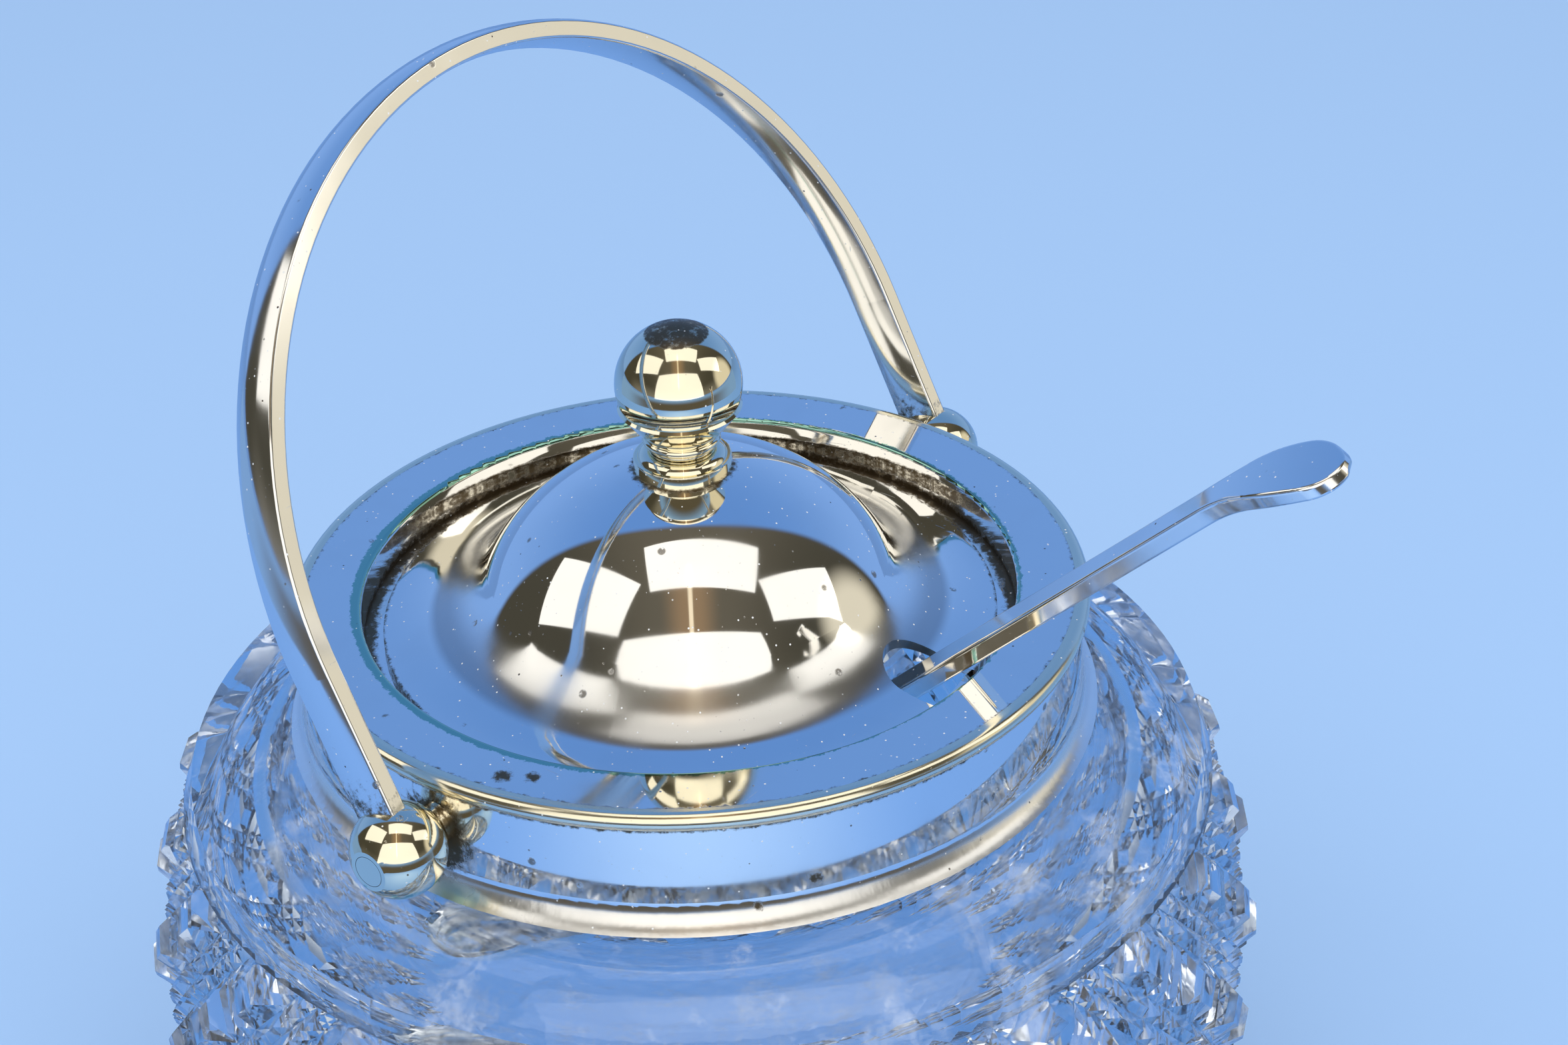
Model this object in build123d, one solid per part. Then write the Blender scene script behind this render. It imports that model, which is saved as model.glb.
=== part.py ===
"""Condiment pot: cut-glass jar with a plated collar, swing handle, notched lid with a ball finial, and spoon.

All sizes are millimetres. The origin is the middle of the jar's flat base, +Z is up, the handle's pivot
axis runs along X, and the spoon leans out towards -Y. The handle stands as it was found, leaning to +Y.
"""
import os
from math import acos, atan2, cos, degrees, radians, sin, sqrt, tan

from build123d import *

# Heights of the whole pot
RIM_Z = 80.0            # flat top of the collar above the table
NECK_FOOT_DROP = 12.7   # collar top down to where the neck meets the shoulder
RIDGE_DROP = 17.2       # collar top down to the sharp ridge round the shoulder
CUT_TOP_DROP = 20.35    # collar top down to the first cut ornament

# The two widths that the others follow
COLLAR_R = 38.3         # upright band of the collar, outside
BELLY_R = 56.5          # tips of the ornament where the belly is widest

# Plated collar
SHEET = 0.8
RING_W = 6.4            # flat top ring, from the band to its open edge
RING_IN_R = COLLAR_R - RING_W
RING_EDGE_ROUND = 0.5
BEAD_PROUD = 0.7        # how far the wire stands out from the band, and reaches in over it
BEAD_OUT_R = COLLAR_R + BEAD_PROUD
BEAD_BACK_R = COLLAR_R - BEAD_PROUD
BEAD_H = 1.9
SEAT_DROP = 3.8         # collar top down to the ledge under the lid
SEAT_W = 2.9
SEAT_IN_R = RING_IN_R - SEAT_W
BAND_FOOT_DROP = 12.5
FLARE_W = 1.6
FLARE_R = COLLAR_R + FLARE_W
FLARE_H = 2.6
PLASTER_T = 1.0
BED_SHORT = 0.3         # plaster stops this far above the band's foot

# Glass jar, outside
NECK_R = COLLAR_R - SHEET - PLASTER_T
RIDGE_INSET = 6.25      # ridge, band and foot lie this far inside the belly's tips
BAND_INSET = 5.1
FOOT_INSET = 18.5
RIDGE_R = BELLY_R - RIDGE_INSET
BAND_R = BELLY_R - BAND_INSET   # plain polished band under the ridge
FOOT_R = BELLY_R - FOOT_INSET
BELLY_Z = 40.0
SHOULDER_ARC_R = 48.0   # curve of the belly seen from the side, above its widest height
HEEL_ARC_R = 56.0       # the same below it
FOOT_EDGE = 0.8
HEEL_SLOPE = 40.0       # degrees, plain heel that the cuts run out into
SHOULDER_CROWN = 0.7    # how far the shoulder bulges above a straight cone
LIP_DROP = 1.6          # collar top down to the glass lip
LIP_ROUND = 0.9

# Glass jar, inside
NECK_WALL = 3.3
BELLY_WALL = 10.5       # glass from the chamber to the tips of the ornament
MOUTH_R = NECK_R - NECK_WALL
NECK_LENGTH = 16.0      # straight part of the mouth below the lip
CHAMBER_R = BELLY_R - BELLY_WALL
SHOULDER_ROUND_SHARE = 0.86     # rounding of the chamber's shoulder, share of its overhang
MOUTH_ROUND_SHARE = 0.08        # glass corner where the mouth opens, share of the same
CHAMBER_FLOOR_ROUND = 9.0
FLOOR_Z = 8.0

# Cut ornament: a plaid of mitre cuts, one wide stripe and two narrow lanes in turn
COLUMNS = 24
ROW_PITCH = 15.4        # one boss to the next straight below it
FIRST_ROW_DROP = 23.1   # collar top down to the middle of the first row
WIDE_SHARE = 0.60       # wide stripe of the plaid, share of one repeat
CUT_DEPTH = 2.4
BOSS_FLAT_SHARE = 0.45  # flat on a boss, share of the boss's own width
RIDGE_PEAK = 1.2        # height of the small ridges above the cuts
RIDGE_END_SHARE = 0.62  # length of a small ridge's crest, share of the ridge
PYRAMID_PEAK = 1.3

# Lid: dome with a hollow curve out to its edge
LID_PLAY = 1.9          # lid's edge to the wall round it
LID_R = RING_IN_R - LID_PLAY
DOME_SHARE = 0.7743     # dome's own radius, share of the lid's
HOLLOW_SHARE = 0.414    # radius of the hollow curve, share of the lid's
DOME_R = LID_R * DOME_SHARE
HOLLOW_R = LID_R * HOLLOW_SHARE
NOTCH_W = 7.0
NOTCH_L = 7.7
NOTCH_REACH = LID_R - NOTCH_L   # notch's inner end, from the lid's middle

# Finial, heights from its foot on the dome
FINIAL_BASE_R = 4.72
FINIAL_BASE_H = 1.35
FINIAL_RIM_W = 0.4
FINIAL_RIM_ROUND = 0.15
FINIAL_DISH_ROUND = 1.2
FINIAL_NECK_R = 2.85
FINIAL_RING_R = 3.15
FINIAL_RING_H = 0.6
FINIAL_RING_Z = 2.1
FINIAL_BEAD_R = 3.75
FINIAL_BEAD_H = 0.6
FINIAL_BEAD_Z = 3.0
FINIAL_GROOVE_R = 3.5
FINIAL_CUP_R = 5.94
FINIAL_CUP_Z = 6.66
FINIAL_LIP_W = 0.25
FINIAL_BALL_R = 6.08
FINIAL_BALL_Z = 9.0
STUD_R = 1.25
STUD_DEPTH = 4.0        # stud's length inside the finial
STUD_TAIL = 4.2         # stud's length below the dome
NUT_R = 3.2
NUT_H = 2.0
NUT_SIDES = 6

# Handle and its pivots
PIVOT_DROP = 5.85
BALL_R = 4.5
BALL_FACE = 4.03        # flat faces from the ball's middle
BOW_RISE = 17.6         # pivots up to the middle of the bow's arc
STRAP_W = 5.0
STRAP_EDGE = 1.7        # thickness of the strap at its flat edges
STRAP_CROWN = 0.5       # how far the outer face bulges
STRAP_BULGE = 0.25      # how far the inner face bulges
STRAP_ROUND = 0.3
STRAP_SEAT = 2.6        # strap's end above the pivots
HANDLE_LEAN = 26.0      # degrees off upright
PIN_R = 1.2
PIN_FIT = 0.05          # running clearance all round the pin
PIN_HEAD_R = 1.5
PIN_HEAD_H = 0.9
PIN_TAIL_R = 1.7
PIN_TAIL_H = 0.7
WASHER_R = 2.0
WASHER_T = 0.52
RUNNING_GAP = 0.1
PIVOT_REACH = COLLAR_R + WASHER_T + RUNNING_GAP + BALL_FACE

# Spoon, measured along its stem from the point in the notch
SPOON_TURN = -85.2      # direction it leans out in, degrees from +X
SPOON_SLOPE = 43.5      # degrees above level
SPOON_ROLL = 20.0       # degrees about its own stem
SPOON_INSET = 2.65      # lid's edge to the stem's middle line in the notch
SPOON_NOTCH_R = LID_R - SPOON_INSET
SPOON_NOTCH_DROP = 1.8
SPOON_REST_GAP = 0.3    # bowl's tip to the glass
STEM_W = 2.65
STEM_T = 2.0
STEM_OUT = 37.5         # notch to where the tip starts to bend
STEM_ROOT = 9.0         # stem's length along the outside of the bowl
STEM_ROUND = 0.35       # rounding of the stem's and tip's edges
TIP_BEND_R = 27.0
TIP_L = 14.0
TIP_W = 6.2
TIP_T = 1.3
TIP_FLARE_L = 11.0      # stretch in which the stem widens to the tip
BOWL_L = 42.0
BOWL_W = 29.0
BOWL_DEPTH = 6.5
BOWL_WALL = 1.2

CUT_OVER = 5.0          # overrun of cutting tools

RISING = (Align.CENTER, Align.CENTER, Align.MIN)
RIM = Pos(0, 0, RIM_Z)
PIVOT = Pos(0, 0, RIM_Z - PIVOT_DROP)
HANDLE = PIVOT * Rot(-HANDLE_LEAN, 0, 0)
NOTCH_POINT = Rot(0, 0, SPOON_TURN) * Pos(SPOON_NOTCH_R, 0, RIM_Z - SPOON_NOTCH_DROP)
SPOON = NOTCH_POINT * Rot(0, -SPOON_SLOPE, 0) * Rot(SPOON_ROLL, 0, 0)


def save(shape, node):
    """Write one sub-part."""
    export_step(shape, f"parts/{node}.step")


def outline(*corners):
    """Closed outline of straight sides. A corner's third number is its rounding."""
    points = [corner[:2] for corner in corners]
    rounds = [corner[2] if len(corner) > 2 else 0 for corner in corners]
    return FilletPolyline(*points, radius=rounds, close=True)


def ring(profile):
    """Turn a closed outline, drawn as radius and height, about the pot's axis."""
    return revolve(Plane.XZ * make_face(profile), Axis.Z)


# The glass jar
def land_radius(z):
    """Radius of the ornament's tips at a height."""
    arc_r = SHOULDER_ARC_R if z > BELLY_Z else HEEL_ARC_R
    return BELLY_R - (z - BELLY_Z) ** 2 / (2 * arc_r)


def on_belly(across, along, height):
    """Point over the belly: plaid position, and height above the bottom of the cuts."""
    turn = radians((across + along) / 2 * 360 / COLUMNS)
    z = RIM_Z - FIRST_ROW_DROP - (across - along) / 2 * ROW_PITCH
    r = land_radius(z) - CUT_DEPTH + height
    return Vector(r * cos(turn), r * sin(turn), z)


def plane_cut(start, end, origin, normal):
    """Where the line from start to end meets a plane."""
    run = end - start
    return start + run * ((origin - start).dot(normal) / run.dot(normal))


def boss(a, b):
    """Large truncated pyramid in the wide by wide field of the plaid."""
    w = WIDE_SHARE / 2
    foot = [on_belly(a + i * w, b + j * w, 0) for i, j in ((-1, -1), (1, -1), (1, 1), (-1, 1))]
    peak = on_belly(a, b, CUT_DEPTH / (1 - BOSS_FLAT_SHARE))
    middle = on_belly(a, b, CUT_DEPTH)
    facing = (foot[1] - foot[3]).cross(foot[2] - foot[0])
    top = [plane_cut(p, peak, middle, facing) for p in foot]
    sides = [(foot[i], foot[(i + 1) % 4], top[(i + 1) % 4], top[i]) for i in range(4)]
    return sides + [tuple(top)]


def ridge(corners, middle):
    """Roof over four corners: two long planes meeting in a crest, and two end triangles."""
    p, q, r, s = corners
    left = (q - p).cross(middle - p)
    right = (s - r).cross(middle - r)
    crest = left.cross(right).normalized()
    if crest.dot(q - p) < 0:
        crest = crest * -1
    half = (q - p).length / 2 * RIDGE_END_SHARE
    first = middle - crest * half
    last = middle + crest * half
    return [(p, q, last, first), (r, s, first, last), (q, r, last), (s, p, first)]


def plaid_repeat(a, b):
    """One repeat of the plaid: a boss, two ridges each way, and four pyramids at the crossing."""
    w = WIDE_SHARE / 2
    lanes = ((w, 1 / 2), (1 / 2, 1 - w))
    faces = boss(a, b)
    for low, high in lanes:
        middle = (low + high) / 2
        level = [on_belly(a + i, b + j, 0) for i, j in ((-w, low), (w, low), (w, high), (-w, high))]
        faces += ridge(level, on_belly(a, b + middle, RIDGE_PEAK))
        cross = [on_belly(a + i, b + j, 0) for i, j in ((low, w), (low, -w), (high, -w), (high, w))]
        faces += ridge(cross, on_belly(a + middle, b, RIDGE_PEAK))
        for left, right in lanes:
            corners = ((left, low), (right, low), (right, high), (left, high))
            square = [on_belly(a + i, b + j, 0) for i, j in corners]
            tip = on_belly(a + (left + right) / 2, b + middle, PYRAMID_PEAK)
            faces += [(square[i], square[(i + 1) % 4], tip) for i in range(4)]
    return faces


def open_edges(polygons):
    """Edges used by one polygon only, as pairs of points."""
    seen = {}
    for polygon in polygons:
        for i, start in enumerate(polygon):
            end = polygon[(i + 1) % len(polygon)]
            key = frozenset((tuple(round(c, 4) for c in start), tuple(round(c, 4) for c in end)))
            seen.setdefault(key, []).append((start, end))
    return [pairs[0] for pairs in seen.values() if len(pairs) == 1]


def cut_belly():
    """Solid belly covered by the plaid, reaching past the band above and the base below."""
    above = int((FIRST_ROW_DROP - CUT_TOP_DROP) / ROW_PITCH * 2) + 2
    below = int((RIM_Z - FIRST_ROW_DROP) / ROW_PITCH * 2) + 1
    polygons = []
    for row in range(-above, below + 1):
        for column in range(COLUMNS):
            polygons += plaid_repeat(row + column, column)
    for start, end in open_edges(polygons):
        pole = RIM_Z if start.Z > BELLY_Z else -2 * ROW_PITCH
        polygons.append((start, end, Vector(0, 0, pole)))
    faces = [Face(Wire.make_polygon(polygon, close=True)) for polygon in polygons]
    return Solid(Shell(faces))


def belly_blank():
    """The belly before cutting: flat base, plain heel, and room for the ornament."""
    out_r = BELLY_R + CUT_OVER
    heel_top = (out_r - FOOT_R) * tan(radians(HEEL_SLOPE))
    top_z = RIM_Z - CUT_TOP_DROP
    return ring(outline((0, 0), (FOOT_R, 0, FOOT_EDGE), (out_r, heel_top), (out_r, top_z), (0, top_z)))


def jar_shoulder():
    """Plain neck, shoulder, ridge and polished band, solid."""
    neck_z = RIM_Z - NECK_FOOT_DROP
    ridge_z = RIM_Z - RIDGE_DROP
    lip_z = RIM_Z - LIP_DROP
    low_z = RIM_Z - CUT_TOP_DROP
    shoulder_mid = ((NECK_R + RIDGE_R) / 2, (neck_z + ridge_z) / 2 + SHOULDER_CROWN)
    neck = FilletPolyline((0, low_z), (0, lip_z), (NECK_R, lip_z), (NECK_R, neck_z), radius=(0, LIP_ROUND))
    shoulder = ThreePointArc((NECK_R, neck_z), shoulder_mid, (RIDGE_R, ridge_z))
    band = Polyline((RIDGE_R, ridge_z), (BAND_R, low_z), (0, low_z))
    return ring([neck, shoulder, band])


def chamber_face():
    """Half outline of the space inside the jar, mouth included, as radius and height."""
    lip_z = RIM_Z - LIP_DROP
    ceiling_z = lip_z - NECK_LENGTH
    flare_r = MOUTH_R + LIP_ROUND
    overhang = CHAMBER_R - MOUTH_R
    wall = FilletPolyline(
        (0, FLOOR_Z), (CHAMBER_R, FLOOR_Z), (CHAMBER_R, ceiling_z), (MOUTH_R, ceiling_z),
        (MOUTH_R, lip_z - LIP_ROUND),
        radius=(CHAMBER_FLOOR_ROUND, overhang * SHOULDER_ROUND_SHARE, overhang * MOUTH_ROUND_SHARE),
    )
    lip = CenterArc((flare_r, lip_z - LIP_ROUND), LIP_ROUND, 180, -90)
    top = Polyline((flare_r, lip_z), (flare_r, lip_z + CUT_OVER), (0, lip_z + CUT_OVER), (0, FLOOR_Z))
    return make_face([wall, lip, top])


def glass_jar():
    """The jar in one piece of glass."""
    chamber = revolve(Plane.XZ * chamber_face(), Axis.Z)
    return jar_shoulder() + (cut_belly() & belly_blank()) - chamber


# The collar
def pivot_rod(side, radius, start, end):
    """Cylinder on the handle's pivot axis, between two distances from the pot's middle."""
    return Plane((side * start, 0, 0), z_dir=(side, 0, 0)) * Cylinder(radius, end - start, align=RISING)


def post(radius, top, bottom):
    """Upright cylinder on the pot's axis, between two heights from the collar's top."""
    return Pos(0, 0, bottom) * Cylinder(radius, top - bottom, align=RISING)


def collar_band():
    """Upright band with a flared foot, and holes for the two pins."""
    foot = -BAND_FOOT_DROP
    flare_top = foot + FLARE_H
    inner_r = COLLAR_R - SHEET
    bend_r = FLARE_H / sin(2 * atan2(FLARE_R - COLLAR_R, FLARE_H))
    inner_foot_r = COLLAR_R + bend_r - sqrt((bend_r + SHEET) ** 2 - FLARE_H ** 2)
    outside = Line((COLLAR_R, -BEAD_H), (COLLAR_R, flare_top))
    outer_flare = TangentArc((COLLAR_R, flare_top), (FLARE_R, foot), tangent=(0, -1))
    inner_flare = TangentArc((inner_r, flare_top), (inner_foot_r, foot), tangent=(0, -1))
    inside = Polyline((inner_r, flare_top), (inner_r, -BEAD_H), (COLLAR_R, -BEAD_H))
    edge = Line((FLARE_R, foot), (inner_foot_r, foot))
    band = RIM * ring([outside, outer_flare, edge, inner_flare, inside])
    return band - pivot_pin(-1) - pivot_pin(1)


def rim_plate():
    """Flat ring, short wall inside it, and the ledge that carries the lid."""
    wall_out_r = RING_IN_R + SHEET
    shape = outline(
        (RING_IN_R, 0, RING_EDGE_ROUND), (BEAD_BACK_R, 0), (BEAD_BACK_R, -SHEET), (wall_out_r, -SHEET),
        (wall_out_r, -SEAT_DROP - SHEET), (SEAT_IN_R, -SEAT_DROP - SHEET), (SEAT_IN_R, -SEAT_DROP),
        (RING_IN_R, -SEAT_DROP),
    )
    return RIM * ring(shape)


def rim_wire():
    """Half-round wire that covers the joint of the flat ring and the band."""
    flat_r = BEAD_OUT_R - BEAD_H / 2
    bulge = ThreePointArc((flat_r, 0), (BEAD_OUT_R, -BEAD_H / 2), (flat_r, -BEAD_H))
    back = Polyline((flat_r, -BEAD_H), (BEAD_BACK_R, -BEAD_H), (BEAD_BACK_R, 0), (flat_r, 0))
    return RIM * ring([bulge, back])


def plaster_bed():
    """Plaster between the collar and the glass, hollowed for the pins' tails."""
    outer_r = COLLAR_R - SHEET
    foot = BED_SHORT - BAND_FOOT_DROP
    shape = outline(
        (MOUTH_R, -SHEET), (outer_r, -SHEET), (outer_r, foot), (NECK_R, foot),
        (NECK_R, -LIP_DROP), (MOUTH_R, -LIP_DROP),
    )
    return RIM * ring(shape) - pivot_pin(-1) - pivot_pin(1)


def pivot_pin(side):
    """Rivet: tail inside the band, shank, and a flat head let into the ball."""
    inner_r = COLLAR_R - SHEET
    tail_x = inner_r - PIN_TAIL_H
    face_x = PIVOT_REACH + BALL_FACE
    tail = pivot_rod(side, PIN_TAIL_R, tail_x, inner_r) & post(inner_r, BALL_R, -BALL_R)
    shank = pivot_rod(side, PIN_R, tail_x, face_x)
    head = pivot_rod(side, PIN_HEAD_R, face_x - PIN_HEAD_H, face_x)
    return PIVOT * (tail + shank + head)


def pivot_washer(side):
    """Spacer with a hollow back that sits on the round band."""
    disc = pivot_rod(side, WASHER_R, COLLAR_R - SHEET, COLLAR_R + WASHER_T)
    return PIVOT * (disc - post(COLLAR_R, BALL_R, -BALL_R)) - pivot_pin(side)


# The handle, drawn upright about its pivots
def strap_section():
    """Section of the strap: thick flat edges, and both faces rounded, the outer one more."""
    edge = STRAP_EDGE / 2
    half = STRAP_W / 2
    outer = ThreePointArc((edge, half), (edge + STRAP_CROWN, 0), (edge, -half))
    inner = ThreePointArc((-edge, -half), (-edge - STRAP_BULGE, 0), (-edge, half))
    edges = [Line((edge, -half), (-edge, -half)), Line((-edge, half), (edge, half))]
    section = make_face([outer, inner] + edges)
    return fillet(section.vertices(), STRAP_ROUND)


def bow():
    """Two straight limbs joined by a half circle."""
    section = strap_section()
    limb = Pos(PIVOT_REACH, 0, STRAP_SEAT) * extrude(section, BOW_RISE - STRAP_SEAT)
    arch_foot = Pos(PIVOT_REACH, 0, BOW_RISE) * section
    arch = revolve(arch_foot, Axis((0, 0, BOW_RISE), (0, -1, 0)), 180)
    return limb + arch + mirror(limb, Plane.YZ)


def handle_bow():
    """The bow where it leans."""
    return HANDLE * bow()


def handle_ball(side):
    """Ball with two flat faces, bored for the pin and let in for its head and for the strap."""
    ball = Pos(side * PIVOT_REACH, 0, 0) * Sphere(BALL_R)
    slab = pivot_rod(side, BALL_R, PIVOT_REACH - BALL_FACE, PIVOT_REACH + BALL_FACE)
    bore = pivot_rod(side, PIN_R + PIN_FIT, COLLAR_R, PIVOT_REACH + BALL_R)
    face_x = PIVOT_REACH + BALL_FACE
    recess = pivot_rod(side, PIN_HEAD_R + PIN_FIT, face_x - PIN_HEAD_H - RUNNING_GAP, face_x + CUT_OVER)
    return HANDLE * ((ball & slab) - bore - recess - bow())


# The lid and its finial, drawn from the collar's top
def dome_middle():
    """Height of the dome's centre, where the dome runs smoothly into the hollow curve."""
    hollow_z = SHEET - SEAT_DROP + HOLLOW_R
    return hollow_z - sqrt((DOME_R + HOLLOW_R) ** 2 - LID_R ** 2)


def dome_height(radius, depth=0):
    """Height of the dome at a radius, on its outside or at a depth under it."""
    return dome_middle() + sqrt((DOME_R - depth) ** 2 - radius ** 2)


def lid_curve(depth):
    """Dome and hollow curve from the middle to the edge, at a depth under the outside."""
    lean = degrees(acos(LID_R / (DOME_R + HOLLOW_R)))
    hollow_z = SHEET - SEAT_DROP + HOLLOW_R
    dome = CenterArc((0, dome_middle()), DOME_R - depth, 90, lean - 90)
    hollow = CenterArc((LID_R, hollow_z), HOLLOW_R + depth, 180 + lean, 90 - lean)
    return [dome, hollow]


def notch():
    """Space of the notch: parallel sides and a round inner end."""
    end_x = NOTCH_REACH + NOTCH_W / 2
    length = LID_R + CUT_OVER - end_x
    plan = Pos(end_x + length / 2, 0) * Rectangle(length, NOTCH_W) + Pos(end_x, 0) * Circle(NOTCH_W / 2)
    return Rot(0, 0, SPOON_TURN) * Pos(0, 0, -SEAT_DROP - CUT_OVER) * extrude(plan, DOME_R + CUT_OVER)


def lid_dome():
    """Pressed dome, notched for the spoon and holed for the stud."""
    edge = Line((LID_R, SHEET - SEAT_DROP), (LID_R, -SEAT_DROP))
    middle = Line((0, dome_height(0)), (0, dome_height(0, SHEET)))
    shell = ring(lid_curve(0) + [edge] + lid_curve(SHEET) + [middle])
    return RIM * (shell - notch()) - finial_stud()


def finial():
    """Turned finial: dished foot, beaded neck, cup and ball."""
    foot_z = dome_height(FINIAL_BASE_R)
    lean = degrees(acos(FINIAL_BASE_R / DOME_R))
    rim_r = FINIAL_BASE_R - FINIAL_RIM_W
    ring_top = FINIAL_RING_Z + FINIAL_RING_H
    bead_top = FINIAL_BEAD_Z + FINIAL_BEAD_H
    seat = CenterArc((0, dome_middle() - foot_z), DOME_R, 90, lean - 90)
    rim = FilletPolyline(
        (FINIAL_BASE_R, 0), (FINIAL_BASE_R, FINIAL_BASE_H), (rim_r, FINIAL_BASE_H), radius=FINIAL_RIM_ROUND
    )
    dish = RadiusArc((rim_r, FINIAL_BASE_H), (FINIAL_NECK_R, FINIAL_RING_Z), -FINIAL_DISH_ROUND)
    lower = ThreePointArc(
        (FINIAL_NECK_R, FINIAL_RING_Z),
        (FINIAL_RING_R, FINIAL_RING_Z + FINIAL_RING_H / 2),
        (FINIAL_NECK_R, ring_top),
    )
    neck = Line((FINIAL_NECK_R, ring_top), (FINIAL_NECK_R, FINIAL_BEAD_Z))
    upper = ThreePointArc(
        (FINIAL_NECK_R, FINIAL_BEAD_Z),
        (FINIAL_BEAD_R, FINIAL_BEAD_Z + FINIAL_BEAD_H / 2),
        (FINIAL_GROOVE_R, bead_top),
    )
    cup = Polyline(
        (FINIAL_GROOVE_R, bead_top), (FINIAL_CUP_R, FINIAL_CUP_Z),
        (FINIAL_CUP_R - FINIAL_LIP_W, FINIAL_CUP_Z + FINIAL_LIP_W), (0, FINIAL_BALL_Z),
        (0, dome_height(0) - foot_z),
    )
    stem = ring([seat, rim, dish, lower, neck, upper, cup])
    ball = Pos(0, 0, FINIAL_BALL_Z) * Sphere(FINIAL_BALL_R)
    return RIM * Pos(0, 0, foot_z) * (stem + ball) - finial_stud()


def finial_stud():
    """Stud through the dome."""
    return RIM * post(STUD_R, dome_height(0) + STUD_DEPTH, dome_height(0, SHEET) - STUD_TAIL)


def finial_nut():
    """Hexagonal nut, its corners on the dome's underside."""
    top = dome_height(NUT_R, SHEET)
    blank = extrude(RegularPolygon(NUT_R, NUT_SIDES), -NUT_H)
    return RIM * Pos(0, 0, top) * blank - finial_stud()


# The spoon, drawn along its stem, outwards from the notch
def stem_inside():
    """Length of stem from the notch down to the bowl, so that the bowl's tip nears the glass."""
    half = chamber_face()
    room = offset(half + mirror(half, Plane.YZ), -SPOON_REST_GAP - BOWL_WALL)
    start = (SPOON_NOTCH_R, RIM_Z - SPOON_NOTCH_DROP)
    far = RIM_Z + CHAMBER_R
    slope = radians(SPOON_SLOPE)
    end = (start[0] - far * cos(slope), start[1] - far * sin(slope))
    inside = room & Line(start, end)
    return inside.edges().sort_by(SortBy.LENGTH)[-1].length - BOWL_L


def tip_end():
    """Far end of the bent tip: place of its middle line, and the turn there in radians."""
    turn = TIP_L / TIP_BEND_R
    return STEM_OUT + TIP_BEND_R * sin(turn), TIP_BEND_R * (cos(turn) - 1), turn


def stem_side(root_x):
    """Stem and tip seen from the side, from the stem's root under the bowl."""
    end_x, end_z, turn = tip_end()
    half = STEM_T / 2
    top_end = (end_x + sin(turn) * TIP_T / 2, end_z + cos(turn) * TIP_T / 2)
    low_end = (end_x - sin(turn) * TIP_T / 2, end_z - cos(turn) * TIP_T / 2)
    back = Polyline((STEM_OUT, half), (root_x, half), (root_x, -half), (STEM_OUT, -half))
    top = TangentArc((STEM_OUT, half), top_end, tangent=(1, 0))
    low = TangentArc((STEM_OUT, -half), low_end, tangent=(1, 0))
    return make_face([back, top, low, Line(top_end, low_end)])


def stem_plan(root_x):
    """Stem and tip seen from above: parallel stem, hollow flare and round end."""
    end_x = tip_end()[0]
    stem, tip = STEM_W / 2, TIP_W / 2
    wide_x = end_x - tip
    flare_x = wide_x - TIP_FLARE_L
    middle = ((flare_x + wide_x) / 2, (stem + tip) / 2)
    hollow = TangentArc((flare_x, stem), middle, tangent=(1, 0))
    swell = TangentArc(middle, (wide_x, tip), tangent=hollow % 1)
    straight = Polyline((end_x, 0), (root_x, 0), (root_x, stem), (flare_x, stem))
    end = CenterArc((wide_x, 0), tip, 90, -90)
    half = make_face([straight, hollow, swell, end])
    return half + mirror(half, Plane.XZ)


def spoon_bowl(stem_in):
    """Oval bowl whose rim is level with the top of the stem, as outer form and hollow."""
    middle = Pos(-stem_in - BOWL_L / 2, 0, STEM_T / 2)
    outer = scale(Sphere(1), by=(BOWL_L / 2, BOWL_W / 2, BOWL_DEPTH))
    inner = scale(Sphere(1), by=(BOWL_L / 2 - BOWL_WALL, BOWL_W / 2 - BOWL_WALL, BOWL_DEPTH - BOWL_WALL))
    above = Box(2 * BOWL_L, 2 * BOWL_W, BOWL_L, align=RISING)
    return middle * (outer - above), middle * inner


def spoon():
    """Stem, bent tip and bowl in one piece."""
    stem_in = stem_inside()
    root_x = -stem_in - STEM_ROOT
    bar = extrude(Plane.XZ * stem_side(root_x), TIP_W, both=True)
    plan = extrude(stem_plan(root_x), TIP_BEND_R, both=True)
    stem = bar & plan
    outer, inner = spoon_bowl(stem_in)
    return SPOON * (fillet(stem.edges(), STEM_ROUND) + outer - inner)


def main():
    os.makedirs("parts", exist_ok=True)
    save(glass_jar(), "glass_jar")
    save(plaster_bed(), "plaster_bed")
    save(collar_band(), "collar_band")
    save(rim_plate(), "rim_plate")
    save(rim_wire(), "rim_wire")
    save(handle_bow(), "handle_bow")
    for side, hand in ((-1, "left"), (1, "right")):
        save(pivot_pin(side), f"pivot_pin_{hand}")
        save(pivot_washer(side), f"pivot_washer_{hand}")
        save(handle_ball(side), f"handle_ball_{hand}")
    save(lid_dome(), "lid_dome")
    save(finial(), "finial")
    save(finial_stud(), "finial_stud")
    save(finial_nut(), "finial_nut")
    save(spoon(), "spoon")


if __name__ == "__main__":
    main()
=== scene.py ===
"""Looks of the condiment pot: cut glass, worn silver plate, and a soft studio."""
import math

import bpy
import bmesh
from mathutils import Matrix, Vector

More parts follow.
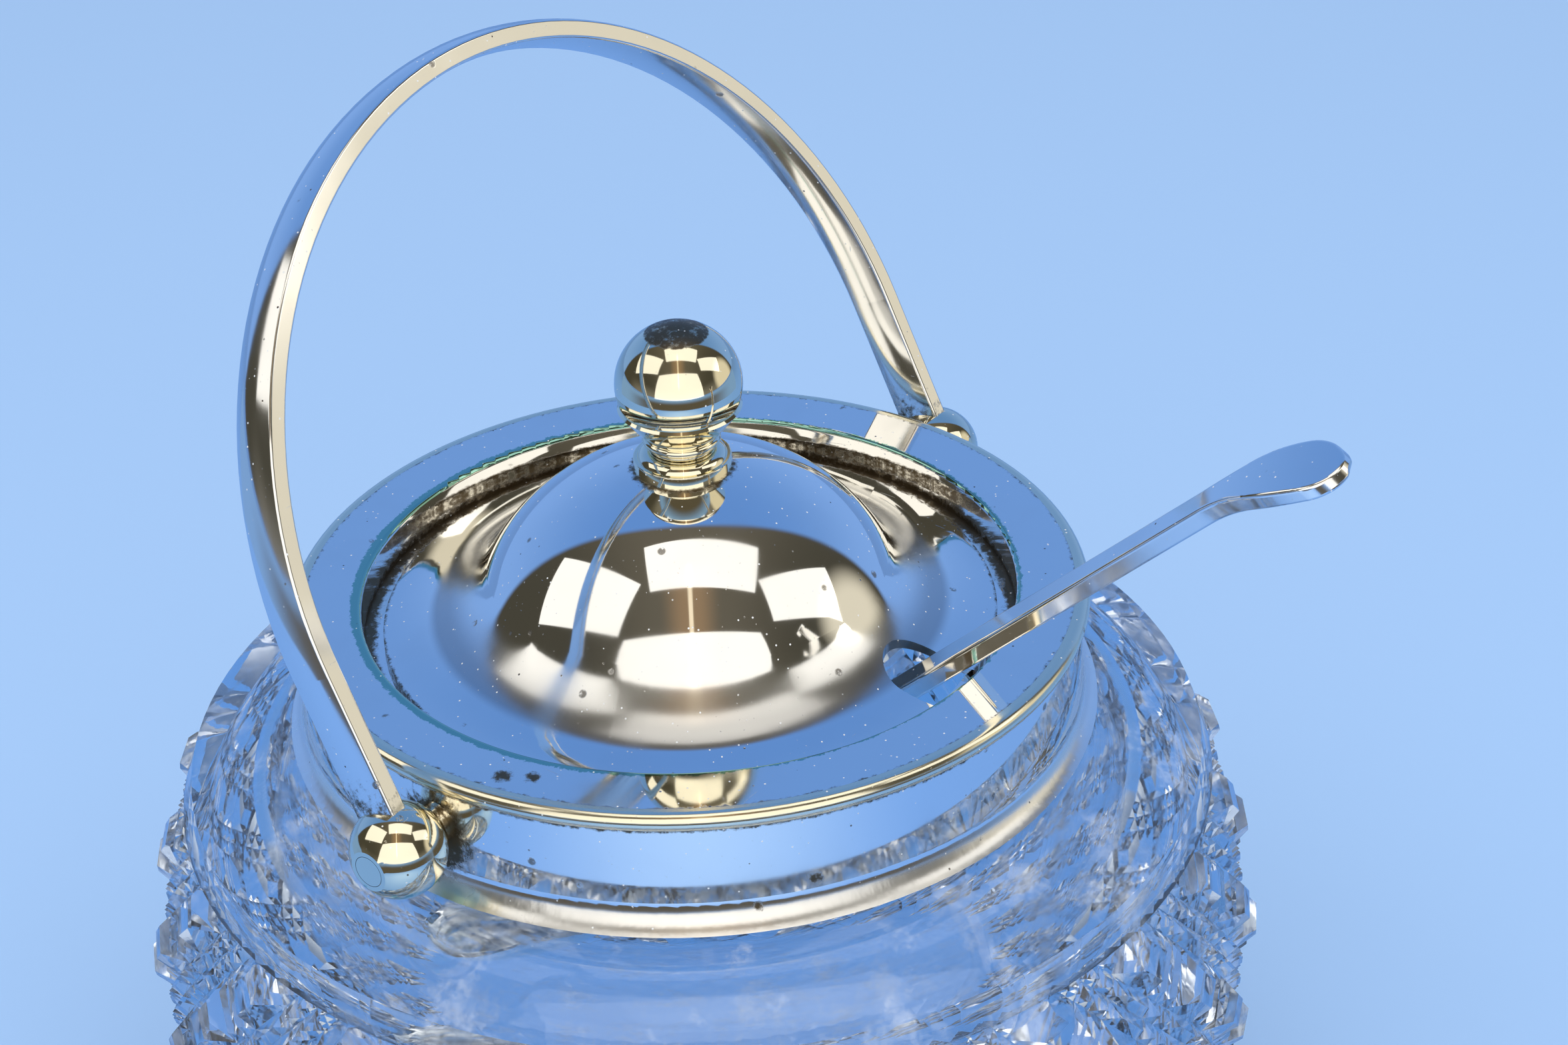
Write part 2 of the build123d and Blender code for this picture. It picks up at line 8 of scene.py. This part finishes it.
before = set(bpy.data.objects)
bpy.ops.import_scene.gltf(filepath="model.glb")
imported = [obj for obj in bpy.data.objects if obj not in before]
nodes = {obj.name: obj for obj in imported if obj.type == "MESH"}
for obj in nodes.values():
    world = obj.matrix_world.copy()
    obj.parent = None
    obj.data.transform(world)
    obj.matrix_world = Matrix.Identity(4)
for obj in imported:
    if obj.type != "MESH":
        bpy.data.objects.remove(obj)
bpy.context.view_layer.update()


# Shader trees
class Tree:
    """Short way to write a shader tree. A mask is a number from 0 to 1."""

    def __init__(self, tree):
        self.tree = tree
        tree.nodes.clear()

    def add(self, kind, **sockets):
        node = self.tree.nodes.new(kind)
        for name, value in sockets.items():
            self.put(node.inputs[name.replace("_", " ")], value)
        return node

    def put(self, socket, value):
        if isinstance(value, bpy.types.NodeSocket):
            self.tree.links.new(value, socket)
        else:
            socket.default_value = value

    def math(self, operation, *values):
        node = self.tree.nodes.new("ShaderNodeMath")
        node.operation = operation
        for socket, value in zip(node.inputs, values):
            self.put(socket, value)
        return node.outputs[0]

    def line(self, value, slope, start):
        """Value times slope, plus start."""
        return self.math("MULTIPLY_ADD", value, slope, start)

    def vector(self, operation, *values):
        node = self.tree.nodes.new("ShaderNodeVectorMath")
        node.operation = operation
        for socket, value in zip(node.inputs, values):
            self.put(socket, value)
        return node.outputs["Value"]

    def step(self, value, low, high):
        """0 below low, 1 above high, smooth between."""
        node = self.tree.nodes.new("ShaderNodeMapRange")
        node.interpolation_type = "SMOOTHSTEP"
        for socket, v in zip(node.inputs, (value, low, high, 0.0, 1.0)):
            self.put(socket, v)
        return node.outputs[0]

    def fade(self, value, low, high):
        """1 below low, 0 above high."""
        return self.math("SUBTRACT", 1.0, self.step(value, low, high))

    def both(self, *masks):
        """Where all masks are."""
        mask = masks[0]
        for other in masks[1:]:
            mask = self.math("MULTIPLY", mask, other)
        return mask

    def either(self, *masks):
        """Where any mask is."""
        mask = masks[0]
        for other in masks[1:]:
            mask = self.math("MAXIMUM", mask, other)
        return mask

    def mix(self, share, a, b):
        """Colour a, or b where share is 1."""
        node = self.tree.nodes.new("ShaderNodeMix")
        node.data_type = "RGBA"
        for name, value in (("Factor", share), ("A", a), ("B", b)):
            sockets = [
                s for s in node.inputs if s.name == name and (name == "Factor" or s.type == "RGBA")
            ]
            self.put(sockets[0], value)
        return [s for s in node.outputs if s.type == "RGBA"][0]

    def place(self):
        """Where the point is in the frame, in metres."""
        return self.add("ShaderNodeTexCoord").outputs["Object"]

    def scaled(self, vector, scale, turn=(0, 0, 0)):
        node = self.add("ShaderNodeMapping", Vector=vector)
        node.inputs["Rotation"].default_value = turn
        node.inputs["Scale"].default_value = scale
        return node.outputs[0]

    def noise(self, vector, scale, detail=2.0, rough=0.5):
        node = self.add("ShaderNodeTexNoise", Vector=vector, Scale=scale, Detail=detail, Roughness=rough)
        return node.outputs[0]

    def dots(self, vector, scale, size):
        """Scattered dots, their size a share of the space between them."""
        node = self.add("ShaderNodeTexVoronoi", Vector=vector, Scale=scale)
        return self.fade(node.outputs["Distance"], size * DOT_CORE, size)

    def radius(self, place):
        """Distance from the pot's axis."""
        return self.vector("LENGTH", self.scaled(place, (1, 1, 0)))

    def height(self, place):
        """Height over the table."""
        return self.vector("DOT_PRODUCT", place, (0, 0, 1))

    def near(self, place, point, reach):
        """1 at a point, 0 from a distance on."""
        return self.fade(self.vector("DISTANCE", place, point), 0.0, reach)

    def bump(self, height, distance):
        return self.add("ShaderNodeBump", Height=height, Distance=distance).outputs[0]


def surface(name):
    """New material with one Principled shader."""
    material = bpy.data.materials.new(name)
    material.use_nodes = True
    tree = Tree(material.node_tree)
    shader = tree.add("ShaderNodeBsdfPrincipled")
    out = tree.add("ShaderNodeOutputMaterial")
    tree.put(out.inputs["Surface"], shader.outputs[0])
    return material, tree, shader


# Silver plate. Scales of noise and dots are in features per metre.
DOT_CORE = 0.6          # share of a dot that is full
WARM = (0.95, 0.93, 0.88, 1)
CREAM = (0.94, 0.87, 0.66, 1)
TEAL = (0.30, 0.56, 0.46, 1)
BROWN = (0.15, 0.115, 0.07, 1)
DUST = (0.80, 0.80, 0.78, 1)
SMOKE = (0.47, 0.46, 0.44, 1)
CLOUD_SCALE = 75.0      # haze left by wiping
CLOUD_SHADE = 0.92      # how dark the haze is
CLOUD_ROUGH = 0.085
RAGGED_SCALE = 1100.0   # torn edges of tarnish
FILM_RAG = 1.3
CRUST_RAG = 1.1
PATCH_SCALE = 130.0     # where pits gather
PIT_SCALE, PIT_SIZE = 480.0, 0.062
BLOT_SCALE, BLOT_SIZE = 190.0, 0.09
DUST_SCALE, DUST_SIZE = 900.0, 0.10
DUST_PATCH_SCALE = 260.0
SCRATCH_SIZE = 0.045
SCRATCH_RUNS = (        # stretch and turn of each set of scratches
    ((1300, 34, 1300), (0.4, 0.3, 0.6)),
    ((1100, 1100, 30), (1.2, -0.5, 2.0)),
    ((26, 1500, 1500), (-0.4, 0.9, 0.5)),
)
SCRATCH_ROUGH, SCRATCH_DEPTH = 0.16, -0.06
MATT_ROUGH = 0.24
SOIL_ROUGH, PIT_DEPTH = 0.35, -0.10
POLISHED = 0.028        # roughness of clean bright plate
DENT_SCALE = 42.0
DENT_DEPTH = 0.00009
RIB_STRETCH, RIB_HEIGHT = (900.0, 900.0, 25.0), 0.35


def silver(
    name, tint=WARM, wear=1.0, teal=None, brown=None, dull=POLISHED, matt=None, smoke=None, ribbed=False
):
    """Bright plate with wiping haze, fine scratches, dents, pits and dust. Teal film, brown grime and
    painted shade, grey smoke and matt rubbing lie where the given functions say, film, grime and shade with
    ragged edges. Ribs stand where it is matt."""
    material, tree, shader = surface(name)
    place = tree.place()
    cloud = tree.noise(place, CLOUD_SCALE, 3.0, 0.6)
    ragged = tree.noise(place, RAGGED_SCALE, 5.0, 0.75)
    rag = tree.math("SUBTRACT", ragged, 0.5)
    patches = tree.step(tree.noise(place, PATCH_SCALE, 1.0), 0.46, 0.62)
    dusty = tree.step(tree.noise(place, DUST_PATCH_SCALE, 1.0), 0.38, 0.52)
    scratches = tree.either(
        *[tree.dots(tree.scaled(place, stretch, turn), 1.0, SCRATCH_SIZE) for stretch, turn in SCRATCH_RUNS]
    )
    pits = tree.both(tree.dots(place, PIT_SCALE, PIT_SIZE), patches)
    blots = tree.both(tree.dots(place, BLOT_SCALE, BLOT_SIZE), tree.step(ragged, 0.42, 0.54))
    dust = tree.both(tree.dots(place, DUST_SCALE, DUST_SIZE), dusty)

    shaded = [c * CLOUD_SHADE for c in tint[:3]] + [1]
    color = tree.mix(tree.both(tree.step(cloud, 0.45, 0.75), 0.5), tint, shaded)
    stain_and_shade = tree.either(pits, tree.both(blots, 0.7))
    if teal:
        film = tree.line(rag, FILM_RAG, teal(tree, place))
        color = tree.mix(tree.step(film, 0.44, 0.56), color, TEAL)
    if brown:
        # brown: grime, and painted shade where the given function puts it under the wire or beside the lid
        crust_and_shade = tree.line(rag, CRUST_RAG, brown(tree, place))
        stain_and_shade = tree.either(stain_and_shade, tree.step(crust_and_shade, 0.42, 0.72))
    if smoke:
        color = tree.mix(smoke(tree, place), color, SMOKE)
    color = tree.mix(stain_and_shade, color, BROWN)
    tree.put(shader.inputs["Base Color"], tree.mix(dust, color, DUST))
    tree.put(shader.inputs["Metallic"], tree.math("SUBTRACT", 1.0, tree.both(dust, 0.8)))

    rough = tree.line(tree.step(cloud, 0.35, 0.8), CLOUD_ROUGH * wear, dull)
    rough = tree.line(scratches, SCRATCH_ROUGH, rough)
    if matt:
        rough = tree.line(matt(tree, place), MATT_ROUGH, rough)
    tree.put(shader.inputs["Roughness"], tree.line(tree.either(stain_and_shade, dust), SOIL_ROUGH, rough))

    height = tree.line(scratches, SCRATCH_DEPTH, tree.noise(place, DENT_SCALE, 0.0))
    if ribbed:
        ribs = tree.noise(tree.scaled(place, RIB_STRETCH), 1.0, 2.0)
        height = tree.line(tree.both(ribs, matt(tree, place)), RIB_HEIGHT, height)
    height = tree.line(tree.either(pits, blots), PIT_DEPTH, height)
    tree.put(shader.inputs["Normal"], tree.bump(height, DENT_DEPTH * wear))
    return material


# Where tarnish and painted shade lie. Each mask is given in metres of radius or height in the frame.
def ring_film(tree, place):
    """Blue-green film along the ring's open edge, wider on the left."""
    left = tree.step(tree.vector("DOT_PRODUCT", place, (-0.7, 0.7, 0)), -0.02, 0.03)
    reach = tree.line(left, 0.0006, 0.0325)
    edge = tree.fade(tree.math("SUBTRACT", tree.radius(place), reach), -0.0010, 0.0007)
    flat_top = tree.step(tree.height(place), 0.0795, 0.0798)
    return tree.both(edge, flat_top)


def ring_crust_and_shade(tree, place):
    """Dark line along the wire, painted shadow on the ledge corner beside the lid, and two old stains at
    the front.
    """
    line = tree.both(tree.step(tree.radius(place), 0.0365, 0.0379), 0.62)
    # painted shadow: the ledge below the ring's top, beside the lid's edge, is darkened
    low = tree.fade(tree.height(place), 0.0759, 0.0785)
    corner = tree.both(low, tree.step(tree.radius(place), 0.0295, 0.0315))
    stains = tree.either(
        tree.near(place, (-0.0352, -0.0061, 0.08), 0.0024),
        tree.near(place, (-0.0338, -0.0085, 0.08), 0.0020),
    )
    return tree.either(line, tree.both(corner, 0.8), tree.both(stains, 0.75))


def wire_painted_shade(tree, place):
    """Painted shade on the wire's lower side."""
    # painted shade: brown on the lower part of the wire, below this height
    return tree.both(tree.fade(tree.height(place), 0.0779, 0.0788), 0.75)


def band_crust_and_shade(tree, place):
    """Grime round the pivots, painted shade along the band's top under the wire, and a few stains."""
    sides = [tree.near(place, (side * 0.0383, 0.0, 0.0730), 0.0085) for side in (-1, 1)]
    # painted shade: the band's top edge under the wire is darkened
    top = tree.step(tree.height(place), 0.0772, 0.0782)
    stains = [
        tree.near(place, (-0.0224, -0.0311, 0.0712), 0.0017),
        tree.near(place, (-0.0065, -0.0377, 0.0684), 0.0013),
        tree.near(place, (-0.0265, -0.0277, 0.0693), 0.0012),
    ]
    return tree.either(*sides, tree.both(top, 0.7), *[tree.both(s, 0.8) for s in stains])


def flare_matt(tree, place):
    """The flared foot of the band is rubbed dull."""
    return tree.fade(tree.height(place), 0.0686, 0.0700)


def hollow_matt(tree, place):
    """The hollow round the dome's foot, where a polishing cloth hardly reaches."""
    radius = tree.radius(place)
    return tree.both(tree.step(radius, 0.0196, 0.0214), tree.fade(radius, 0.0243, 0.0262), 0.6)


def hollow_smoke(tree, place):
    """Grey tarnish in the same hollow."""
    radius = tree.radius(place)
    return tree.both(tree.step(radius, 0.0208, 0.0238), tree.fade(radius, 0.0246, 0.0258), 0.75)


def lid_crust(tree, place):
    """Grime at the lid's edge and round the finial's foot."""
    edge = tree.both(tree.step(tree.radius(place), 0.0291, 0.0301), 0.66)
    foot = tree.both(tree.fade(tree.radius(place), 0.0047, 0.0062), 0.66)
    return tree.either(edge, foot)


def finial_crust(tree, place):
    """Dull brown in the turned grooves."""
    return tree.both(tree.fade(tree.radius(place), 0.0029, 0.0034), 0.72)


def handle_crust(tree, place):
    """Dark tarnish where the strap meets the balls."""
    return tree.both(tree.fade(tree.height(place), 0.0762, 0.0870), 0.60)


def ball_film(tree, place):
    """Film on the underside of the balls."""
    return tree.both(tree.fade(tree.height(place), 0.0712, 0.0742), 0.52)


# Glass, plaster and brass
GLASS = (0.985, 0.99, 1.0, 1)
GLASS_IOR = 1.55
GLASS_WAVES = 0.00003   # height of waves in the polished glass


def cut_glass():
    """Lead glass: wavy and streaky, a little softer on the cuts, rubbed and milky in patches."""
    material, tree, shader = surface("cut_glass_look")
    place = tree.place()
    waves = tree.noise(place, 110.0, 1.0)
    ream = tree.noise(tree.scaled(place, (420.0, 420.0, 40.0)), 1.0, 2.0)
    rub = tree.step(tree.noise(place, 700.0, 5.0, 0.7), 0.50, 0.75)
    veil = tree.step(tree.noise(tree.scaled(place, (240.0, 240.0, 60.0)), 1.0, 4.0, 0.65), 0.48, 0.70)
    milk = tree.step(tree.noise(tree.scaled(place, (150.0, 150.0, 50.0)), 1.0, 5.0, 0.7), 0.52, 0.68)
    below_ridge = tree.fade(tree.height(place), 0.0593, 0.0600)
    cuts = tree.both(below_ridge, tree.step(tree.radius(place), 0.0470, 0.0476))
    shader.inputs["Base Color"].default_value = GLASS
    shader.inputs["IOR"].default_value = GLASS_IOR
    tree.put(shader.inputs["Transmission Weight"], tree.line(milk, -0.20, 0.97))
    rough = tree.line(cuts, 0.01, 0.005)
    rough = tree.line(rub, 0.10, rough)
    tree.put(shader.inputs["Roughness"], tree.line(veil, 0.10, rough))
    tree.put(shader.inputs["Normal"], tree.bump(tree.line(ream, 0.25, waves), GLASS_WAVES))
    return material


def plaster():
    """Matt plaster, blotched and grainy."""
    material, tree, shader = surface("plaster_look")
    place = tree.place()
    grain = tree.noise(place, 1800.0, 5.0, 0.65)
    blotch = tree.noise(place, 120.0, 3.0)
    color = tree.mix(blotch, (0.86, 0.85, 0.80, 1), (0.66, 0.64, 0.57, 1))
    tree.put(shader.inputs["Base Color"], color)
    shader.inputs["Roughness"].default_value = 0.85
    tree.put(shader.inputs["Normal"], tree.bump(grain, 0.0001))
    return material


def brass():
    """Dull turned brass of the hidden stud and nut."""
    material, tree, shader = surface("brass_look")
    place = tree.place()
    dull = tree.noise(place, 500.0, 4.0)
    color = tree.mix(dull, (0.58, 0.42, 0.18, 1), (0.34, 0.24, 0.12, 1))
    tree.put(shader.inputs["Base Color"], color)
    shader.inputs["Metallic"].default_value = 1.0
    tree.put(shader.inputs["Roughness"], tree.line(dull, 0.3, 0.2))
    tree.put(shader.inputs["Normal"], tree.bump(dull, 0.00003))
    return material


pivot_plate = silver("pivot_plate_look", CREAM, 1.2, teal=ball_film)
yellow = brass()
LOOKS = {
    "glass_jar": cut_glass(),
    "plaster_bed": plaster(),
    "finial_stud": yellow,
    "finial_nut": yellow,
    "spoon": silver("spoon_plate_look", WARM, 1.4, dull=0.08),
    # ring, wire and band: their brown marks include painted shade beside the lid and under the wire
    "rim_plate": silver("ring_plate_look", WARM, 1.0, ring_film, ring_crust_and_shade),
    "rim_wire": silver("wire_plate_look", CREAM, 1.0, brown=wire_painted_shade, dull=0.14),
    "collar_band": silver("band_plate_look", WARM, 1.0, brown=band_crust_and_shade, matt=flare_matt, ribbed=True),
    "lid_dome": silver("lid_plate_look", WARM, 0.8, brown=lid_crust, matt=hollow_matt, smoke=hollow_smoke),
    "finial": silver("finial_plate_look", CREAM, 0.8, brown=finial_crust),
    "handle_bow": silver("handle_plate_look", WARM, 1.0, brown=handle_crust, dull=0.09),
}
for name, node in nodes.items():
    look = LOOKS.get(name, pivot_plate)
    if not node.material_slots:
        node.data.materials.append(look)
    for slot in node.material_slots:
        slot.material = look


# The studio
VIEW_AZ = math.radians(-140.7)  # direction the camera stands in, from +X
TO_VIEW = Vector((math.cos(VIEW_AZ), math.sin(VIEW_AZ), 0))
ASIDE = Vector((-TO_VIEW.y, TO_VIEW.x, 0))
UP = Vector((0, 0, 1))
MIDDLE = Vector((0, 0, 0.085))  # what the windows face
FLOOR_REACH = 4.0
FLOOR_Z = -0.0003

# The backdrop as the camera, metal and glass see it
PALE = (0.37, 0.565, 0.88, 1)
HORIZON = (0.315, 0.485, 0.765, 1)
DEEP = (0.17, 0.35, 0.76, 1)
PAINTED_POOL_COLOR = (0.36, 0.56, 0.92, 1)
UNDER_GLASS = (0.08, 0.27, 0.70, 1)
BACK_LOW, BACK_HIGH = (0.21, 0.40, 0.84, 1), (0.12, 0.28, 0.68, 1)
GLASS_BACK_LOW, GLASS_BACK_HIGH = (0.10, 0.28, 0.66, 1), (0.68, 0.78, 0.90, 1)
GLASS_ROOM_LOW, GLASS_ROOM_HIGH = (0.18, 0.25, 0.37, 1), (0.66, 0.74, 0.82, 1)
DAYLIGHT = (0.84, 0.86, 0.88, 1)

# The dark room in front, seen in metal
ROOM_MIDDLE, ROOM_SIDES = (0.125, 0.112, 0.086, 1), (0.062, 0.058, 0.044, 1)
ROOM_LOW = (0.20, 0.19, 0.165, 1)
PANE = (0.74, 0.69, 0.56, 1)
STRIP = (0.29, 0.20, 0.12, 1)
STRIP_LINE = (1.0, 0.85, 0.62, 1)
CARD_DARK, CARD_PALE = (0.10, 0.088, 0.065, 1), (0.20, 0.37, 0.70, 1)
BLACK = (0, 0, 0, 1)


def way_to(azimuth, elevation):
    """Direction at an azimuth and elevation in degrees."""
    a, e = math.radians(azimuth), math.radians(elevation)
    return Vector((math.cos(a) * math.cos(e), math.sin(a) * math.cos(e), math.sin(e)))


def floor():
    """Pale floor. Glass sees it unshaded, and metal sees it deeper blue, with a painted pool of light near
    the pot.
    """
    mesh = bpy.data.meshes.new("floor")
    corners = [
        (x * FLOOR_REACH, y * FLOOR_REACH, FLOOR_Z) for x, y in ((-1, -1), (1, -1), (1, 1), (-1, 1))
    ]
    mesh.from_pydata(corners, [], [(0, 1, 2, 3)])
    made = bpy.data.objects.new("floor", mesh)
    bpy.context.scene.collection.objects.link(made)
    material, tree, shader = surface("floor_look")
    rays = tree.add("ShaderNodeLightPath").outputs
    # painted pool of light: metal sees the floor paler round a point in front of the pot
    painted_light_pool = tree.near(tree.place(), TO_VIEW * 0.17, 0.16)
    seen = tree.mix(rays["Is Glossy Ray"], PALE, tree.mix(painted_light_pool, DEEP, PAINTED_POOL_COLOR))
    tree.put(shader.inputs["Base Color"], tree.mix(rays["Is Transmission Ray"], seen, BLACK))
    shader.inputs["Roughness"].default_value = 0.9
    shader.inputs["Specular IOR Level"].default_value = 0.1
    shader.inputs["Emission Color"].default_value = UNDER_GLASS
    tree.put(shader.inputs["Emission Strength"], rays["Is Transmission Ray"])
    mesh.materials.append(material)


def sky():
    """Pale all round. Metal also sees a dark room in front, and glass a paler, bluer one."""
    world = bpy.data.worlds.new("studio")
    bpy.context.scene.world = world
    world.use_nodes = True
    tree = Tree(world.node_tree)
    way = tree.add("ShaderNodeTexCoord").outputs["Generated"]
    front = tree.vector("DOT_PRODUCT", way, TO_VIEW)
    aside = tree.vector("DOT_PRODUCT", way, ASIDE)
    up = tree.vector("DOT_PRODUCT", way, UP)
    wide = tree.math("ABSOLUTE", aside)
    edge = tree.line(tree.math("MULTIPLY", up, up), 0.28, -0.50)
    room = tree.step(tree.math("SUBTRACT", front, edge), -0.02, 0.03)

    low = tree.both(tree.fade(up, -0.05, 0.30), tree.step(front, -0.2, 0.3))
    pane = tree.step(tree.vector("DOT_PRODUCT", way, way_to(-48, 7)), 0.90, 0.97)
    strip = tree.both(tree.fade(wide, 0.05, 0.26), tree.step(up, 0.2, 0.45), tree.step(front, 0.1, 0.25))
    line = tree.both(tree.fade(wide, 0.012, 0.022), strip)
    dark = tree.mix(tree.step(wide, 0.2, 0.9), ROOM_MIDDLE, ROOM_SIDES)
    for mask, color in ((low, ROOM_LOW), (pane, PANE), (strip, STRIP), (line, STRIP_LINE)):
        dark = tree.mix(mask, dark, color)
    metal_sees = tree.mix(room, tree.mix(tree.step(up, 0.0, 0.9), BACK_LOW, BACK_HIGH), dark)
    glass_back = tree.mix(tree.step(up, 0.1, 0.8), GLASS_BACK_LOW, GLASS_BACK_HIGH)
    glass_room = tree.mix(tree.step(up, 0.0, 0.5), GLASS_ROOM_LOW, GLASS_ROOM_HIGH)
    glass_sees = tree.mix(room, glass_back, glass_room)

    rays = tree.add("ShaderNodeLightPath").outputs
    not_in_glass = tree.math("LESS_THAN", rays["Transmission Depth"], 0.5)
    seen = tree.mix(tree.both(rays["Is Glossy Ray"], not_in_glass), glass_sees, metal_sees)
    seen = tree.mix(rays["Is Camera Ray"], seen, HORIZON)
    seen = tree.mix(rays["Is Diffuse Ray"], seen, DAYLIGHT)
    background = tree.add("ShaderNodeBackground", Color=seen, Strength=1.0)
    out = tree.add("ShaderNodeOutputWorld")
    tree.put(out.inputs["Surface"], background.outputs[0])


WINDOW_RADIANCE = 1.05
WINDOW_COLOR = (1.0, 0.99, 0.97)
WINDOW_DISTANCE = 0.55


def window(name, centre, back, size, roll=0.0):
    """Rectangular lamp. Back is the direction that it faces away from."""
    lamp = bpy.data.lights.new(name, "AREA")
    lamp.shape = "RECTANGLE"
    lamp.size, lamp.size_y = size
    lamp.energy = WINDOW_RADIANCE * math.pi * size[0] * size[1]
    lamp.color = WINDOW_COLOR
    across = UP.cross(back).normalized()
    along = back.cross(across)
    r = math.radians(roll)
    x = across * math.cos(r) + along * math.sin(r)
    y = along * math.cos(r) - across * math.sin(r)
    turn = Matrix((x, y, back)).transposed().to_4x4()
    made = bpy.data.objects.new(name, lamp)
    made.matrix_world = Matrix.Translation(centre) @ turn
    made.visible_camera = False
    bpy.context.scene.collection.objects.link(made)


def facing_pot(name, azimuth, elevation, size, roll):
    """Window at a direction from the pot, in degrees."""
    back = way_to(azimuth, elevation)
    window(name, MIDDLE + back * WINDOW_DISTANCE, back, size, roll)


CARD_SPREAD = math.radians(118)  # to each side of the front
CARD_STEPS = 48
CARD_FOOT_R, CARD_TOP_R, CARD_H = 0.26, 0.30, 0.088


def dark_card():
    """Low card round the front, seen only in metal, like the room beyond the table's edge. It turns
    pale towards its ends and its top."""
    mesh = bpy.data.meshes.new("dark_card")
    made = bpy.data.objects.new("dark_card", mesh)
    bpy.context.scene.collection.objects.link(made)
    grid = bmesh.new()
    rows = []
    for i in range(CARD_STEPS + 1):
        turn = VIEW_AZ + CARD_SPREAD * (2 * i / CARD_STEPS - 1)
        low = grid.verts.new((CARD_FOOT_R * math.cos(turn), CARD_FOOT_R * math.sin(turn), 0.0))
        high = grid.verts.new((CARD_TOP_R * math.cos(turn), CARD_TOP_R * math.sin(turn), CARD_H))
        rows.append((low, high))
    for (a, b), (c, d) in zip(rows, rows[1:]):
        grid.faces.new((a, c, d, b))
    grid.to_mesh(mesh)
    grid.free()
    material, tree, shader = surface("dark_card_look")
    place = tree.place()
    front = tree.step(tree.vector("DOT_PRODUCT", place, TO_VIEW), -0.06, 0.20)
    shade = tree.both(front, tree.fade(tree.height(place), 0.045, CARD_H))
    shader.inputs["Base Color"].default_value = BLACK
    shader.inputs["Specular IOR Level"].default_value = 0.0
    tree.put(shader.inputs["Emission Color"], tree.mix(shade, CARD_PALE, CARD_DARK))
    shader.inputs["Emission Strength"].default_value = 1.0
    mesh.materials.append(material)
    for kind in ("camera", "diffuse", "transmission", "shadow", "volume_scatter"):
        setattr(made, f"visible_{kind}", False)


CAMERA_PLACE = (-0.2087, -0.1708, 0.24935)
CAMERA_LENS = 74.94
CAMERA_TURNS = (52.71, 31.19, -2.02)  # heading from +Y, pitch down and roll, degrees


def camera():
    """Camera at the photograph's place and angle."""
    data = bpy.data.cameras.new("camera")
    data.lens = CAMERA_LENS
    data.sensor_width = 36.0
    data.clip_start, data.clip_end = 0.01, 50.0
    made = bpy.data.objects.new("camera", data)
    heading, pitch, roll = (math.radians(v) for v in CAMERA_TURNS)
    level = Vector((math.sin(heading), math.cos(heading), 0))
    ahead = Vector((level.x * math.cos(pitch), level.y * math.cos(pitch), -math.sin(pitch)))
    right = Vector((math.cos(heading), -math.sin(heading), 0))
    up = right.cross(ahead)
    x = right * math.cos(roll) + up * math.sin(roll)
    y = up * math.cos(roll) - right * math.sin(roll)
    turn = Matrix((x, y, -ahead)).transposed().to_4x4()
    made.matrix_world = Matrix.Translation(CAMERA_PLACE) @ turn
    bpy.context.scene.collection.objects.link(made)
    bpy.context.scene.camera = made


floor()
sky()
dark_card()
window("window_front", TO_VIEW * 0.30 + UP * 0.235, TO_VIEW, (0.56, 0.34))
facing_pot("window_left", 138, 42, (0.46, 0.27), 34)
facing_pot("window_right", -60, 37, (0.37, 0.20), -42)
facing_pot("window_top", -104, 80, (0.50, 0.25), -36)
camera()
bpy.context.scene.view_settings.view_transform = "Standard"
